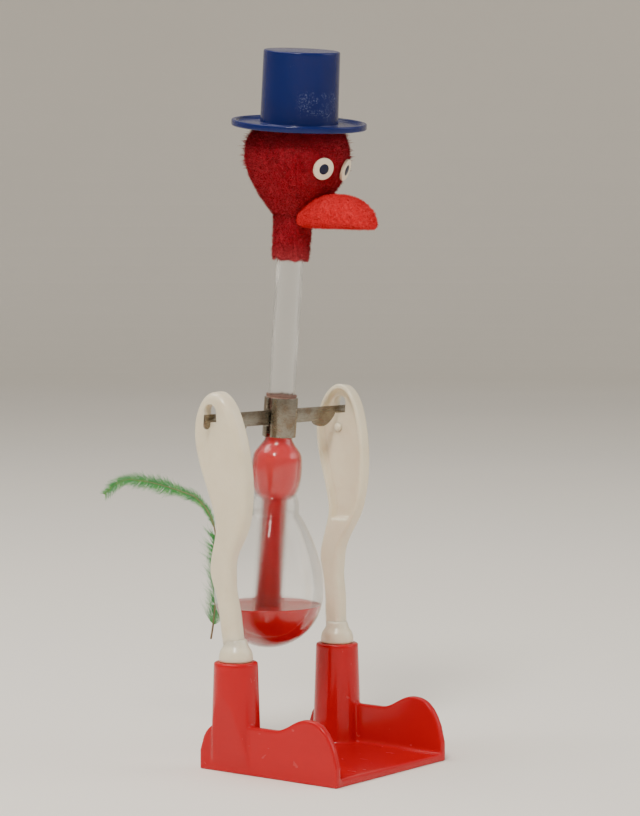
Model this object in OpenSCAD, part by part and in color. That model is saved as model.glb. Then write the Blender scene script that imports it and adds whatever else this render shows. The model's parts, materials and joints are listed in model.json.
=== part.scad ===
// Drinking bird: a glass bird that tips about a sheet metal clip held between two plastic legs.
// +Z is up and the bird faces -Y.  The origin is on the table under the tilt axis.

/* [Stand] */
// Height of the tilt axis above the table
pivot_z = 116; // [112:1:125]
// Width of the foot base across the two shoe walls
base_w = 61; // [57:1:68]
// Length of the base in front of the tilt axis
toe_y = 47; // [44:1:58]
// Length of the base behind the tilt axis
heel_y = 10; // [9:1:14]
// Thickness of the floor plate and of the shoe walls
base_t = 2.6; // [2:0.2:3.4]
// Height of the shoe's toe
toe_z = 20.8; // [17:0.5:24]
// Height of the top of the ankle socket
ankle_z = 36.6; // [33:0.5:40]
// Distance between the centres of the two ankles
ankle_w = 55; // [53:1:60]
// How far the ankle stands in front of the tilt axis
ankle_y = 3.2; // [1:0.2:5]
// Diameter of the ankle socket at its top
ankle_d = 14.6; // [13.4:0.2:16]
// Diameter of the bore that takes the leg's plug
plug_d = 8; // [6.6:0.2:9]
// Outward slope of the legs
leg_splay = 4.3; // [3:0.1:5]
// Width of the thigh
thigh_w = 19.4; // [17:0.2:22]
// Thickness of the leg
leg_t = 6; // [5:0.2:7]
// Thickness of the leg's web
leg_web = 3.6; // [3:0.1:4.2]
// Width of the rim round the leg's hollow
leg_rim = 1.4; // [1.2:0.1:2]
// Diameter of the shin
shin_d = 6.6; // [5.6:0.2:7.4]
// Diameter of the bead that rests on the ankle socket
bead_d = 11.4; // [10:0.2:13]
// Diameter of the stop peg on the inner face of the leg
peg_d = 3; // [2:0.2:4]

/* [Glass] */
// Forward lean of the bird when it stands still
lean = 4.8; // [3:0.2:7]
// Outer diameter of the neck and of the dip tube
tube_d = 9.2; // [8.4:0.2:10]
// Thickness of the glass
glass_t = 0.9; // [0.6:0.1:1.2]
// Outer diameter of the small bulge under the clip
bulge_d = 17.2; // [15:0.2:19]
// Outer diameter of the lower bulb
bulb_d = 37; // [34:0.5:40]
// Distance from the tilt axis down to the widest part of the lower bulb
bulb_drop = 60.3; // [57:0.5:63]
// Outer diameter of the glass head bulb
head_bulb_d = 30; // [28:0.5:30.5]
// Height of the liquid surface above the table
liquid_z = 52; // [46:0.5:54]

/* [Head and hat] */
// Diameter of the flocked head
head_d = 35; // [34:0.5:37]
// Height of the widest part of the head above the tilt axis
head_up = 88; // [87:0.5:89]
// Height of the sleeve's hem above the tilt axis
hem_up = 51.9; // [45:0.5:56]
// Diameter of the felt sleeve
sleeve_d = 11.4; // [11:0.2:13]
// Length of the beak in front of the neck's centre line
beak_len = 33.4; // [28:0.2:40]
// Width of the beak
beak_w = 19; // [16:0.5:22]
// Upward pitch of the beak
beak_pitch = 3; // [0:0.5:6]
// Height of the beak
beak_h = 11.6; // [10:0.2:13]
// Diameter of an eye
eye_d = 7.4; // [6.5:0.1:8.5]
// Diameter of a pupil
pupil_d = 3.6; // [2.6:0.1:4.6]
// Diameter of the hat's crown at the brim
crown_d = 25.8; // [25:0.2:28]
// Height of the hat
hat_h = 25.4; // [20:0.2:30]
// How far the hat sits askew, towards the bird's right
hat_skew = 5; // [2:0.5:7]
// How far the hat nods forward
hat_nod = 2; // [0:0.5:4]
// Diameter of the hat's brim
brim_d = 45.4; // [40:0.2:50]
// Thickness of the hat's wall
hat_t = 1; // [0.8:0.1:1.5]

/* [Clip] */
// Thickness of the sheet metal
sheet_t = 0.6; // [0.4:0.1:0.7]
// Height of the clip's collar
collar_h = 13.2; // [11:0.2:14]
// Height of the arms beside the collar
arm_h = 4.9; // [4:0.1:5.4]
// Height of the narrow tip that rocks in the leg's slot
tip_h = 2.6; // [2.2:0.1:2.8]
// How far the lobe hangs below the arm
lobe_drop = 2; // [1:0.1:3]
// Width of the finger at the end of the tip, outside the leg
finger_w = 3; // [2.4:0.1:3.2]
// How far the finger hangs below the tip
finger_drop = 2.6; // [2:0.1:3]

/* [Feather] */
// Diameter of the feather's shaft at its quill
quill_d = 1.4; // [1:0.1:1.8]
// Length that the feather's plume sweeps out behind the bird
plume_reach = 52; // [40:1:60]
// Thickness of the feather's vane
vane_t = 0.8; // [0.6:0.1:1.2]

/* [Hidden] */
$fn = 64;
SIDES = [-1, 1];
socket_depth = 12;                // depth of the bore in an ankle socket
gap = 0.05;                       // clearance that keeps neighbouring pieces apart
skin = 0.1;                       // clearance between glass and felt
slot_r = 2.5;                     // half width of the arched slot in a leg's web
slot_h = 3.5;                     // height where the slot's arch starts
edge_r = sheet_t / 2;             // rounded lower edge of the tip, on the tilt axis
tube_r = tube_d / 2;
collar_r = tube_r + 0.5;          // inner radius of the metal collar
collar_top = 6.4;
collar_bottom = collar_top - collar_h;
liner_r = collar_r - 0.05;
bulge_top = collar_bottom + 0.6;
bulge_z = collar_bottom - 11;
bulge_end = bulge_z - 10.4;
seam_r = bulge_d / 2 - 0.2;       // where the lower bulb is fused under the bulge
seam_z = bulge_end - 1.4;
bulb_r = bulb_d / 2;
dip_end = -bulb_drop - bulb_r * 0.7;
bulb_c = [0, bulb_drop * sin(lean), pivot_z - bulb_drop * cos(lean)];
head_r = head_d / 2;
head_bulb_c = head_up - 2.5;
felt_neck_r = sleeve_d / 2 + 1.1;
felt_z = 67.5;                     // height where the head's felt meets the sleeve
shoulder_z = head_up + 8.8;       // height of the felt's flat shoulder under the brim

hat_in_r = crown_d / 2 - hat_t;
cap_r = hat_in_r - 0.6;           // felt dome inside the hat
beak_z = 63.9;
eye_x = 6;
eye_z = head_up - 4.2;
eye_az = asin(eye_x / (head_r - 0.5));
leg_len = pivot_z - ankle_z;
web_x = ankle_w / 2 + leg_len * tan(leg_splay);
finger_x = web_x + leg_t / 2 / cos(leg_splay) + 0.2;
knee_z = 30;                      // height of the knee above the ankle socket
thigh_top = leg_len + 9.8;
green = "forestgreen";

// Puts a shape drawn about the bird's own axis, with the tilt axis at z = 0, into place.
module tilted() {
    translate([0, 0, pivot_z]) rotate([lean, 0, 0]) children();
}

// ---------- Stand ----------

// Height of the shoe wall's top edge, from the heel to the toe
function shoe_top(y) =
    y > -ankle_y ? 16 * sqrt(max(0, 1 - pow((y + ankle_y) / (heel_y + ankle_y + 0.6), 4)))
    : y > -toe_y * 0.45 ? 16
    : y > -toe_y * 0.74 ? 16 + (toe_z - 16) * (1 - cos(180 * (-y / toe_y - 0.45) / 0.29)) / 2
    : toe_z * pow(max(0, 1 - pow((-y / toe_y - 0.74) / 0.27, 2.4)), 0.5);

module shoe_wall() {
    rotate([90, 0, 90]) linear_extrude(base_t) polygon(concat(
        [[heel_y, 0]],
        [for (i = [0 : 40]) let (y = heel_y - i * (heel_y + toe_y) / 40) [y, shoe_top(y)]],
        [[-toe_y, 0]]));
}

module ankle_tube() {
    cylinder(h = ankle_z, d1 = ankle_d + 2.4, d2 = ankle_d);
}

// Three-cornered rib that stiffens the inner side of an ankle
module gusset() {
    rotate([90, 0, 0]) linear_extrude(1.6, center = true)
        polygon([[0, 0], [11.5, 0], [11.5, 3], [0, 18]]);
}

module foot_base() {
    flush = (ankle_w + ankle_d - base_w) / 2 + 1;
    color("crimson") difference() {
        union() {
            translate([-base_w / 2 + 1, -toe_y + 0.2, 0])
                cube([base_w - 2, toe_y + heel_y - 0.4, base_t]);
            translate([-base_w / 2, 0, 0]) shoe_wall();
            translate([base_w / 2 - base_t, 0, 0]) shoe_wall();
            for (s = SIDES) translate([s * ankle_w / 2, -ankle_y, 0]) ankle_tube();
            translate([-ankle_w / 2, -ankle_y, base_t - 0.1]) gusset();
            translate([ankle_w / 2, -ankle_y, base_t - 0.1]) mirror([1, 0, 0]) gusset();
        }
        for (s = SIDES) translate([s * ankle_w / 2, -ankle_y, ankle_z - socket_depth])
            cylinder(h = ankle_z, d = plug_d);
        // below the shoe's top edge the tubes slope back into the walls
        for (s = [0, 1]) mirror([s, 0, 0]) translate([base_w / 2, ankle_d, 0]) rotate([90, 0, 0])
            linear_extrude(3 * ankle_d) polygon([[0, -1], [0, 2], [flush, ankle_z - 8],
                [20, ankle_z - 8], [20, -1]]);
    }
}

// Half width of the leg at height z above the ankle socket
function leg_half(z) =
    let (shin = shin_d / 2, thigh = thigh_w / 2, full = leg_len - 9)
    z < knee_z - 8 ? shin
    : z < knee_z ? shin + 0.9 * (1 - cos(180 * (z - knee_z + 8) / 8)) / 2
    : z < full ? shin + 0.9 + (thigh - shin - 0.9)
        * pow((1 - cos(180 * (z - knee_z) / (full - knee_z))) / 2, 1.1)
    : thigh * sqrt(max(0, 1 - pow((z - full) / (thigh_top - full), 2)));

// How far the leg's middle line stands in front of the ankle at height z above the socket
function leg_mid(z) =
    z < 12 ? -1.2 * z / 12
    : z < knee_z ? -1.2 - 2.2 * (1 - cos(180 * (z - 12) / (knee_z - 12))) / 2
    : z < knee_z + 18 ? -3.4 + 5 * (1 - cos(180 * (z - knee_z) / 18)) / 2
    : 1.6 - 3.9 * (1 - cos(180 * min(1, (z - knee_z - 18) / 34))) / 2;

// Side view of the leg, drawn in by cut all round, from height z0 to the top
module leg_outline(cut, z0) {
    top = thigh_top - cut;
    polygon(concat(
        [for (i = [0 : 44]) let (z = z0 + (top - z0) * sin(90 * i / 44))
            [-leg_mid(z) + max(0, leg_half(z * thigh_top / (thigh_top + cut * z / top)) - cut), z]],
        [for (i = [44 : -1 : 0]) let (z = z0 + (top - z0) * sin(90 * i / 44))
            [-leg_mid(z) - max(0, leg_half(z * thigh_top / (thigh_top + cut * z / top)) - cut), z]]));
}

// The leg on the +X side.  Its web is on the outside and its hollow faces the bird.
module leg_shape() {
    translate([ankle_w / 2, -ankle_y, ankle_z]) {
        rotate([0, leg_splay, 0]) rotate([90, 0, 90]) translate([0, 0, -leg_t / 2])
            linear_extrude(leg_t) leg_outline(0, 2);
        translate([0, 0, -plug_d]) cylinder(h = plug_d + 4, d = plug_d - 2 * gap);
        intersection() {
            translate([0, 0, 0.6]) sphere(d = bead_d);
            translate([-bead_d, -bead_d, 0]) cube([2 * bead_d, 2 * bead_d, bead_d]);
        }
    }
}

module leg() {
    difference() {
        leg_shape();
        translate([ankle_w / 2, -ankle_y, ankle_z]) rotate([0, leg_splay, 0])
            rotate([90, 0, 90]) translate([0, 0, -leg_t / 2 - 1]) linear_extrude(leg_t - leg_web + 1)
                leg_outline(leg_rim, knee_z + 24);
        translate([web_x - leg_t, 0, pivot_z - edge_r - gap]) {
            translate([0, -slot_r, 0]) cube([2 * leg_t, 2 * slot_r, slot_h]);
            translate([0, 0, slot_h]) rotate([0, 90, 0]) cylinder(h = 2 * leg_t, r = slot_r);
        }
    }
    translate([web_x - 2.2, 0, pivot_z - 5.4]) rotate([0, 90, 0]) cylinder(h = 4.4, d = peg_d);
}

module leg_left() {
    color("ivory") leg();
}

module leg_right() {
    color("ivory") mirror([1, 0, 0]) leg();
}

// ---------- Glass and liquid ----------

// Radius of the small bulge at height z
function bulge_radius(z) =
    z > bulge_z ? tube_r
        + (bulge_d / 2 - tube_r) * (1 + cos(180 * (z - bulge_z) / (bulge_top - bulge_z))) / 2
    : tube_r + (bulge_d / 2 - tube_r) * sqrt(max(0, 1 - pow((bulge_z - z) / (bulge_z - bulge_end), 2.6)));

// Outline of the bulge from its top to its end, drawn in by cut
function bulge_line(cut) = [for (i = [0 : 24])
    let (z = bulge_top + (bulge_end - bulge_top) * i / 24)
    [bulge_radius(z) - cut, z + cut * (i / 24)]];

module neck_tube() {
    outer = concat([[tube_r, head_bulb_c - head_bulb_d / 2 + 3]], bulge_line(0), [[tube_r, dip_end]]);
    inner = concat([[tube_r - glass_t, head_bulb_c - head_bulb_d / 2 + 3]], bulge_line(glass_t),
        [[tube_r - glass_t, dip_end]]);
    color("lightcyan", 0.5) tilted() rotate_extrude()
        polygon(concat(outer, [for (i = [len(inner) - 1 : -1 : 0]) inner[i]]));
}

// Radius of the lower bulb at height z, above its widest part
function pear_radius(z) =
    let (u = (z + bulb_drop) / (seam_z - 3 + bulb_drop))
    seam_r + (bulb_r - seam_r) * pow(max(0, cos(90 * min(1, u))), 0.85);

function bulb_line(cut) = concat(
    [[bulge_d / 2 - 1.6 - cut, bulge_end + 2.6], [seam_r - cut, seam_z + 0.6]],
    [for (i = [0 : 24]) let (z = seam_z - 3 - (seam_z - 3 + bulb_drop) * i / 24) [pear_radius(z) - cut, z]],
    [for (a = [-5 : -5 : -90]) [(bulb_r - cut) * cos(a), -bulb_drop + (bulb_r - cut) * sin(a)]]);

module lower_bulb() {
    inner = bulb_line(glass_t);
    color("lightcyan", 0.5) tilted() difference() {
        rotate_extrude()
            polygon(concat(bulb_line(0), [for (i = [len(inner) - 1 : -1 : 0]) inner[i]]));
        translate([0, 0, gap]) bulge_solid(gap);
    }
}

// The bulge's outside as a solid, drawn out by grow
module bulge_solid(grow) {
    rotate_extrude() polygon(concat([[0, bulge_top]], bulge_line(-grow), [[0, bulge_end]]));
}

module head_bulb() {
    color("lightcyan", 0.5) tilted() difference() {
        translate([0, 0, head_bulb_c]) sphere(d = head_bulb_d);
        translate([0, 0, head_bulb_c]) sphere(d = head_bulb_d - 2 * glass_t);
        translate([0, 0, head_bulb_c - head_bulb_d]) cylinder(h = head_bulb_d, r = tube_r + gap);
    }
}

// The pinched-off end where the glass was sealed, hidden inside the hat
module sealed_tip() {
    color("lightcyan", 0.5) tilted() translate([0, 0, head_bulb_c + head_bulb_d / 2 - 0.2])
        cylinder(h = 5.4, r1 = 1.9, r2 = 0.9);
}

// The liquid lying in the lower bulb.  Its surface stays level.
module liquid_pool() {
    color("red", 0.7) difference() {
        translate(bulb_c) sphere(r = bulb_r - glass_t - gap);
        translate([-bulb_d, -bulb_d, liquid_z]) cube([2 * bulb_d, 3 * bulb_d, bulb_d]);
        tilted() translate([0, 0, dip_end - gap]) cylinder(h = bulb_d, r = tube_r + gap);
    }
}

// The liquid that has climbed the dip tube and fills the bulge
module liquid_column() {
    line = bulge_line(glass_t + gap);
    color("red", 0.7) tilted() rotate_extrude() polygon(concat(
        [[0, bulge_top]], line, [[tube_r - glass_t - gap, dip_end + 0.2], [0, dip_end + 0.2]]));
}

// ---------- Head, face and hat ----------

// Radius of the head's felt at height z
function felt_radius(z) =
    z < head_up ? felt_neck_r
        + (head_r - felt_neck_r) * pow(cos(90 * (head_up - z) / (head_up - felt_z)), 0.95)
    : head_r - 3.2 * pow((z - head_up) / (shoulder_z - head_up), 2);

// Puts a shape drawn about the hat's axis, with the brim at z = 0, into its crooked seat
module seated() {
    translate([0, 0, shoulder_z]) rotate([hat_nod, -hat_skew, 0]) children();
}

module head_solid() {
    top = shoulder_z + 2.4;
    difference() {
        rotate_extrude() polygon(concat(
            [[0, felt_z]],
            [for (i = [0 : 30]) let (z = felt_z + (top - felt_z) * i / 30) [felt_radius(z), z]],
            [[0, top]]));
        seated() translate([-head_d, -head_d, 0]) cube([2 * head_d, 2 * head_d, head_d]);
    }
    seated() rotate_extrude() polygon(concat(
        [[0, -1], [cap_r, -1]],
        [for (a = [0 : 15 : 90]) [cap_r * cos(a), 6.4 * sin(a)]]));
}

module head_felt() {
    color("firebrick") tilted() difference() {
        head_solid();
        translate([0, 0, head_bulb_c]) sphere(d = head_bulb_d + 2 * skin);
        translate([0, 0, felt_z - 1]) cylinder(h = 12, r = tube_r + skin);
        translate([0, 0, head_bulb_c]) cylinder(h = head_bulb_d, r = 2.2);
    }
}

module neck_sleeve() {
    color("firebrick") tilted() difference() {
        translate([0, 0, hem_up])
            cylinder(h = felt_z - hem_up - gap, r1 = sleeve_d / 2, r2 = felt_neck_r);
        translate([0, 0, hem_up - 1]) cylinder(h = 20, r = tube_r + skin);
    }
}

// Domed on top and flat underneath, with a round tongue-shaped plan
module beak() {
    tip_r = beak_w * 0.36;
    root_y = -beak_len + beak_w * 0.9;
    color("red") tilted() difference() {
        translate([0, -7, beak_z]) rotate([-beak_pitch, 0, 0]) translate([0, 7, 0]) hull() {
            translate([0, -beak_len + tip_r, 0]) cylinder(h = 3, r = tip_r);
            translate([0, root_y, 0]) cylinder(h = 3, d = beak_w);
            translate([0, -beak_len + tip_r + 2, 0]) cylinder(h = beak_h * 0.72, r = tip_r * 0.62);
            translate([0, root_y, 0]) cylinder(h = beak_h * 0.86, d = beak_w * 0.66);
            translate([0, root_y, 0]) cylinder(h = beak_h, d = beak_w * 0.3);
            translate([0, -7, 0]) cylinder(h = 4, r = 5.6);
        }
        translate([0, -gap, 0]) head_solid();
        translate([0, 0, hem_up]) cylinder(h = felt_z - hem_up + 0.1, r1 = sleeve_d / 2 + gap,
            r2 = felt_neck_r + gap);
    }
}

// A disc facing outwards on the head, s = -1 for the bird's right side
module on_face(s, out) {
    tilted() translate([0, 0, eye_z]) rotate([0, 0, s * eye_az]) translate([0, -out, 0])
        rotate([90, 0, 0]) children();
}

eye_back = felt_radius(eye_z) - 0.9;
eye_front = felt_radius(eye_z) + 0.6;

module eye(s) {
    color("antiquewhite") difference() {
        on_face(s, eye_back) cylinder(h = eye_front - eye_back, d = eye_d);
        tilted() translate([0, -gap, 0]) head_solid();
    }
}

module pupil(s) {
    color("midnightblue") on_face(s, eye_front) cylinder(h = 0.3, d = pupil_d);
}

module eye_right() {
    eye(-1);
}

module eye_left() {
    eye(1);
}

module pupil_right() {
    pupil(-1);
}

module pupil_left() {
    pupil(1);
}

module top_hat() {
    crown_top_r = crown_d / 2 - 0.2;
    color("royalblue") tilted() seated() translate([0, 0, gap]) rotate_extrude() polygon([
        [hat_in_r, 0], [brim_d / 2 - 0.3, 0], [brim_d / 2, 0.4], [brim_d / 2, 1.8],
        [brim_d / 2 - 0.4, 2.1], [brim_d / 2 - 1.4, 2.1], [brim_d / 2 - 1.8, 1.3],
        [crown_d / 2, 1.3], [crown_top_r, hat_h - 1], [crown_top_r - 0.4, hat_h - 0.3],
        [crown_top_r - 1.2, hat_h], [0, hat_h], [0, hat_h - hat_t], [hat_in_r - 0.5, hat_h - hat_t]]);
}

// ---------- Sheet metal clip ----------

// Half of the collar, on the bird's front or back
module half_collar(r_in, side) {
    translate([0, 0, collar_bottom]) difference() {
        cylinder(h = collar_h, r = r_in + sheet_t);
        translate([0, 0, -1]) cylinder(h = collar_h + 2, r = r_in);
        translate([-20, side > 0 ? edge_r + gap - 40 : edge_r, -1]) cube([40, 40, collar_h + 2]);
    }
}

// One arm in side view: straight top edge, lobe, narrow tip and end finger
module arm_outline() {
    lobe_x = web_x - 9.4;
    lobe_r = 6.6;
    top = tip_h - edge_r;
    low = top - arm_h;
    polygon(concat(
        [[collar_r + 0.1, top], [finger_x + finger_w, top]],
        [for (a = [0 : -15 : -180]) [finger_x + finger_w / 2 + finger_w / 2 * cos(a),
            -finger_drop + finger_w / 2 * (1 + sin(a))]],
        [[finger_x, 0], [lobe_x + lobe_r, 0]],
        [for (a = [0 : -15 : -180]) [lobe_x + lobe_r * cos(a) * 0.96,
            low + min(1, 1 - cos(a)) * 1.2 * max(0, cos(a)) + lobe_drop * sin(a)]],
        [[collar_r + 0.1, low]]));
}

// Front half of the collar with both arms
module clip_front() {
    color("silver") translate([0, 0, pivot_z]) {
        rotate([lean, 0, 0]) half_collar(collar_r, -1);
        rotate([lean, 0, 0]) for (s = SIDES) mirror([s < 0 ? 1 : 0, 0, 0]) rotate([90, 0, 0])
            linear_extrude(sheet_t, center = true) arm_outline();
        rotate([0, 90, 0]) difference() {
            cylinder(h = 2 * (finger_x + 0.1), r = edge_r, center = true);
            cylinder(h = 2 * (web_x - 6), r = 2 * edge_r, center = true);
        }
    }
}

// Back half of the collar with the four crimped tabs
module clip_back() {
    tab_w = 1.6;
    tab_h = 3.6;
    color("silver") tilted() {
        half_collar(collar_r, 1);
        for (s = SIDES) for (z = [collar_bottom, collar_top - tab_h])
            translate([s > 0 ? collar_r + 0.2 : -collar_r - 0.2 - tab_w, edge_r + gap, z])
                cube([tab_w, sheet_t, tab_h]);
    }
}

// Thin liner between the glass and the collar, frayed where it stands out at the top
module clip_liner() {
    color("saddlebrown") tilted() translate([0, 0, collar_bottom + 0.4]) difference() {
        cylinder(h = collar_h + 0.8, r = liner_r);
        translate([0, 0, -1]) cylinder(h = collar_h + 3, r = tube_r + 0.04);
        translate([0, 0, -0.1]) cylinder(h = 1.4, r1 = tube_r + 1, r2 = tube_r);
    }
}

// ---------- Feather ----------

feather_x = -3;
feather_y = 25.7;                 // where the shaft passes the back of the bulb
plume_z = pivot_z - 43.5;         // height where the plume starts to turn backwards
plume_arc = 16;                   // radius of that turn
glue_z = bulb_c[2] + 1.2;
sweep_y = feather_y + plume_arc * (1 - cos(70));
sweep_z = plume_z + plume_arc * sin(70);

// Middle line of the shaft in its own plane
function shaft_line() = concat(
    [for (z = [38.5 : 4 : plume_z]) [feather_y + 0.006 * pow(z - 58, 2), z]],
    [for (a = [10 : 10 : 70]) [feather_y + plume_arc * (1 - cos(a)), plume_z + plume_arc * sin(a)]],
    [for (u = [0.15 : 0.17 : 1]) [sweep_y + u * (feather_y + plume_reach - sweep_y),
        sweep_z + 4 * sin(90 * min(1, u / 0.7)) - 6 * pow(max(0, u - 0.7) / 0.3, 2)]]);

// A strip of the shaft's plane between two half widths, from step a to step b
module shaft_strip(w0, w1, a, b) {
    line = shaft_line();
    n = len(line) - 1;
    w = [for (i = [0 : n]) w0 + (w1 - w0) * max(0, i - a) / max(1, b - a)];
    dir = [for (i = [0 : n]) let (d = line[min(n, i + 1)] - line[max(0, i - 1)]) d / norm(d)];
    polygon(concat(
        [for (i = [a : b]) [line[i][0] - dir[i][1] * w[i], line[i][1] + dir[i][0] * w[i]]],
        [for (i = [b : -1 : a]) [line[i][0] + dir[i][1] * w[i], line[i][1] - dir[i][0] * w[i]]]));
}

// Draws a shape of the shaft's plane as a sheet of thickness t standing at x
module in_plane(x, t) {
    translate([x, 0, 0]) rotate([90, 0, 90]) linear_extrude(t, center = true) children();
}

module feather_shaft() {
    last = len(shaft_line()) - 1;
    color("saddlebrown") in_plane(feather_x, quill_d / 2) shaft_strip(quill_d / 2, 0.3, 0, last);
}

// The two vanes, one on each face of the shaft
module feather_plume() {
    last = len(shaft_line()) - 1;
    color(green) for (s = SIDES) in_plane(feather_x + s * (quill_d / 4 + gap + vane_t / 2), vane_t)
        shaft_strip(3, 4.2, 6, last);
}

// The loose down above the quill
module feather_down() {
    color(green) for (s = SIDES) in_plane(feather_x + s * (quill_d / 4 + gap + vane_t / 2), vane_t)
        shaft_strip(4.2, 1.6, 1, 4);
}

// The dab of glue between the bulb and the shaft
module feather_glue() {
    back_y = feather_y - quill_d / 2 - gap;
    color("honeydew") difference() {
        translate([feather_x, back_y, glue_z]) rotate([90, 0, 0]) cylinder(h = 3, d = 4.6);
        translate(bulb_c) sphere(r = bulb_r + gap, $fn = 240);
    }
}

foot_base();
leg_right();
leg_left();
neck_tube();
lower_bulb();
head_bulb();
sealed_tip();
liquid_pool();
liquid_column();
head_felt();
neck_sleeve();
beak();
eye_right();
eye_left();
pupil_right();
pupil_left();
top_hat();
clip_front();
clip_back();
clip_liner();
feather_shaft();
feather_plume();
feather_down();
feather_glue();
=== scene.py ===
"""Drinking bird: the finished surfaces of a glass bird that tips between two plastic legs."""
import functools
import json
import math
import random

import bmesh
import bpy
from mathutils import Matrix, Vector, kdtree, noise


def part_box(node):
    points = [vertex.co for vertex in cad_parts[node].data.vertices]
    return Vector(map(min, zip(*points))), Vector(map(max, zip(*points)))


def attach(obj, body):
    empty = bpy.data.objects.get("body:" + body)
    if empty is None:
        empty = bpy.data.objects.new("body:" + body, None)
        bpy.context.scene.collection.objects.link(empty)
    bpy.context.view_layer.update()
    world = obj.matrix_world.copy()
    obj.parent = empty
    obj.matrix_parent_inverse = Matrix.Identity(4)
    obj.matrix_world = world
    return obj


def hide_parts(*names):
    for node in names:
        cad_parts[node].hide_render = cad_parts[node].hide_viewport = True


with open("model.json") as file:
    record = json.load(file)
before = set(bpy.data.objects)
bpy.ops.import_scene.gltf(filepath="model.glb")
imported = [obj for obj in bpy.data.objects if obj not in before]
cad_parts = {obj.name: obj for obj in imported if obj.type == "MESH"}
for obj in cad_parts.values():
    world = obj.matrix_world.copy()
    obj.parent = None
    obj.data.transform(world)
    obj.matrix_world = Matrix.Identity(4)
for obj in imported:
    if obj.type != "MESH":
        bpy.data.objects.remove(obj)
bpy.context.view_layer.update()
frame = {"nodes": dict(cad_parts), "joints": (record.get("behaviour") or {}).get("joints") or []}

bl_info = {
    "name": "Drinking Bird",
    "version": (1, 0, 0),
    "blender": (4, 5, 0),
    "location": "View3D > Sidebar > Bird",
    "description": "Builds a drinking bird's glass, felt, hat, clip, feather, legs and foot base",
    "category": "Object",
}

MM = 0.001
TILT = next(j for j in frame["joints"] if j["name"] == "tilt")
PIVOT = Vector(TILT["pos_m"])
FULL_TURN = 2 * math.pi
EYE_DROP = 4.2 * MM               # eyes below the widest part of the head
EYE_TURN = math.asin(6 / 17)      # how far round the head an eye sits
GLASS_GAP = 0.05 * MM             # between the liquid and the glass
DOWN_GAP = 0.15 * MM              # between the feather's down and the glass
HEM_FADE_Z = 0.167                # height where the sleeve's pale hem starts
# Painted shade: the liquid is painted darker the lower it lies, darkest under this height, as shade for its
# depth.
POOL_FADE_Z = 0.036               # height under which the liquid looks deep
SCUFF_LOW, SCUFF_HIGH = 0.2146, 0.2195
SCUFF_RIGHT, SCUFF_LEFT, SCUFF_FRONT = -0.013, 0.003, -0.015


@functools.lru_cache(maxsize=None)
def reach(node, axis=0):
    """Half of a CAD node's extent along one row axis, in metres."""
    low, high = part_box(node)
    return (high[axis] - low[axis]) / 2


def middle(node):
    """The middle of a CAD node's box."""
    low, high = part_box(node)
    return (low + high) / 2


# ---------- Sizes and colours ----------

def length(label, about, default):
    return bpy.props.FloatProperty(name=label, description=about, default=default, unit="LENGTH",
                                   precision=5)


def tint(label, about, default):
    return bpy.props.FloatVectorProperty(name=label, description=about, default=default, size=3,
                                         subtype="COLOR", min=0, max=1)


class BirdSizes(bpy.types.PropertyGroup):
    """Sizes along the bird's own axis, which runs through the tilt axis."""
    lean: bpy.props.FloatProperty(name="Lean", description="Forward lean of the bird at rest",
                                  default=math.radians(4.8), unit="ROTATION")
    glass: length("Glass", "Thickness of the glass wall", 0.3 * MM)
    tube_r: length("Tube radius", "Outer radius of the neck and dip tube", 4.6 * MM)
    bulge_top: length("Bulge top", "Height where the bulge leaves the clip", -6.2 * MM)
    bulge_z: length("Bulge middle", "Height of the widest part of the bulge", -17.8 * MM)
    bulge_end: length("Bulge end", "Height of the bulge's lower end", -28.2 * MM)
    bulb_z: length("Bulb middle", "Height of the widest part of the lower bulb", -60.3 * MM)
    head_z: length("Head middle", "Height of the widest part of the head", 88 * MM)
    hem_z: length("Hem", "Height of the sleeve's hem", 51.9 * MM)
    felt_z: length("Felt seam", "Height where the head's felt meets the sleeve", 67.5 * MM)
    seat_z: length("Hat seat", "Height of the underside of the hat's brim", 96.8 * MM)
    hat_h: length("Hat height", "Height of the hat", 25.4 * MM)
    hat_skew: bpy.props.FloatProperty(name="Hat skew", description="How far the hat sits askew",
                                      default=math.radians(5), unit="ROTATION")
    hat_nod: bpy.props.FloatProperty(name="Hat nod", description="How far the hat nods forward",
                                     default=math.radians(2), unit="ROTATION")
    beak_z: length("Beak underside", "Height of the beak's flat underside", 63.9 * MM)
    collar_top: length("Collar top", "Height of the top edge of the clip's collar", 6.4 * MM)
    collar_h: length("Collar height", "Height of the clip's collar", 13.2 * MM)
    sheet: length("Sheet", "Thickness of the clip's sheet metal", 0.6 * MM)
    fibre: length("Fibre", "Length of the flock's fibres", 0.8 * MM)


class BirdColours(bpy.types.PropertyGroup):
    """Colours of the bird's materials."""
    base_red: tint("Base red", "Red of the foot base", (0.50, 0.002, 0.008))
    ivory: tint("Ivory", "Colour of the legs", (0.78, 0.69, 0.50))
    hat_blue: tint("Hat blue", "Blue of the top hat", (0.002, 0.009, 0.095))
    head_red: tint("Head red", "Dark red of the head's flock", (0.36, 0.001, 0.014))
    beak_red: tint("Beak red", "Bright red of the beak's flock", (0.82, 0.003, 0.014))
    liquid: tint("Liquid", "Colour of the liquid", (0.74, 0.003, 0.007))
    cream: tint("Cream", "Colour of the eye discs", (0.84, 0.73, 0.54))
    navy: tint("Navy", "Colour of the pupils", (0.006, 0.008, 0.030))
    # The plating's colour is darkened, as a painted reflection of dark brownish surroundings.
    nickel: tint("Nickel", "Colour of the clip's plating", (0.25, 0.23, 0.19))
    feather: tint("Feather", "Green of the feather", (0.02, 0.33, 0.05))
    floor: tint("Floor", "Colour of the plain floor", (0.92, 0.88, 0.81))


def sizes():
    return bpy.context.scene.bird_sizes


def colours():
    return bpy.context.scene.bird_colours


def lean_matrix():
    """Places a shape drawn about the bird's own axis, with the tilt axis at height 0."""
    return Matrix.Translation(PIVOT) @ Matrix.Rotation(sizes().lean, 4, "X")


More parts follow.
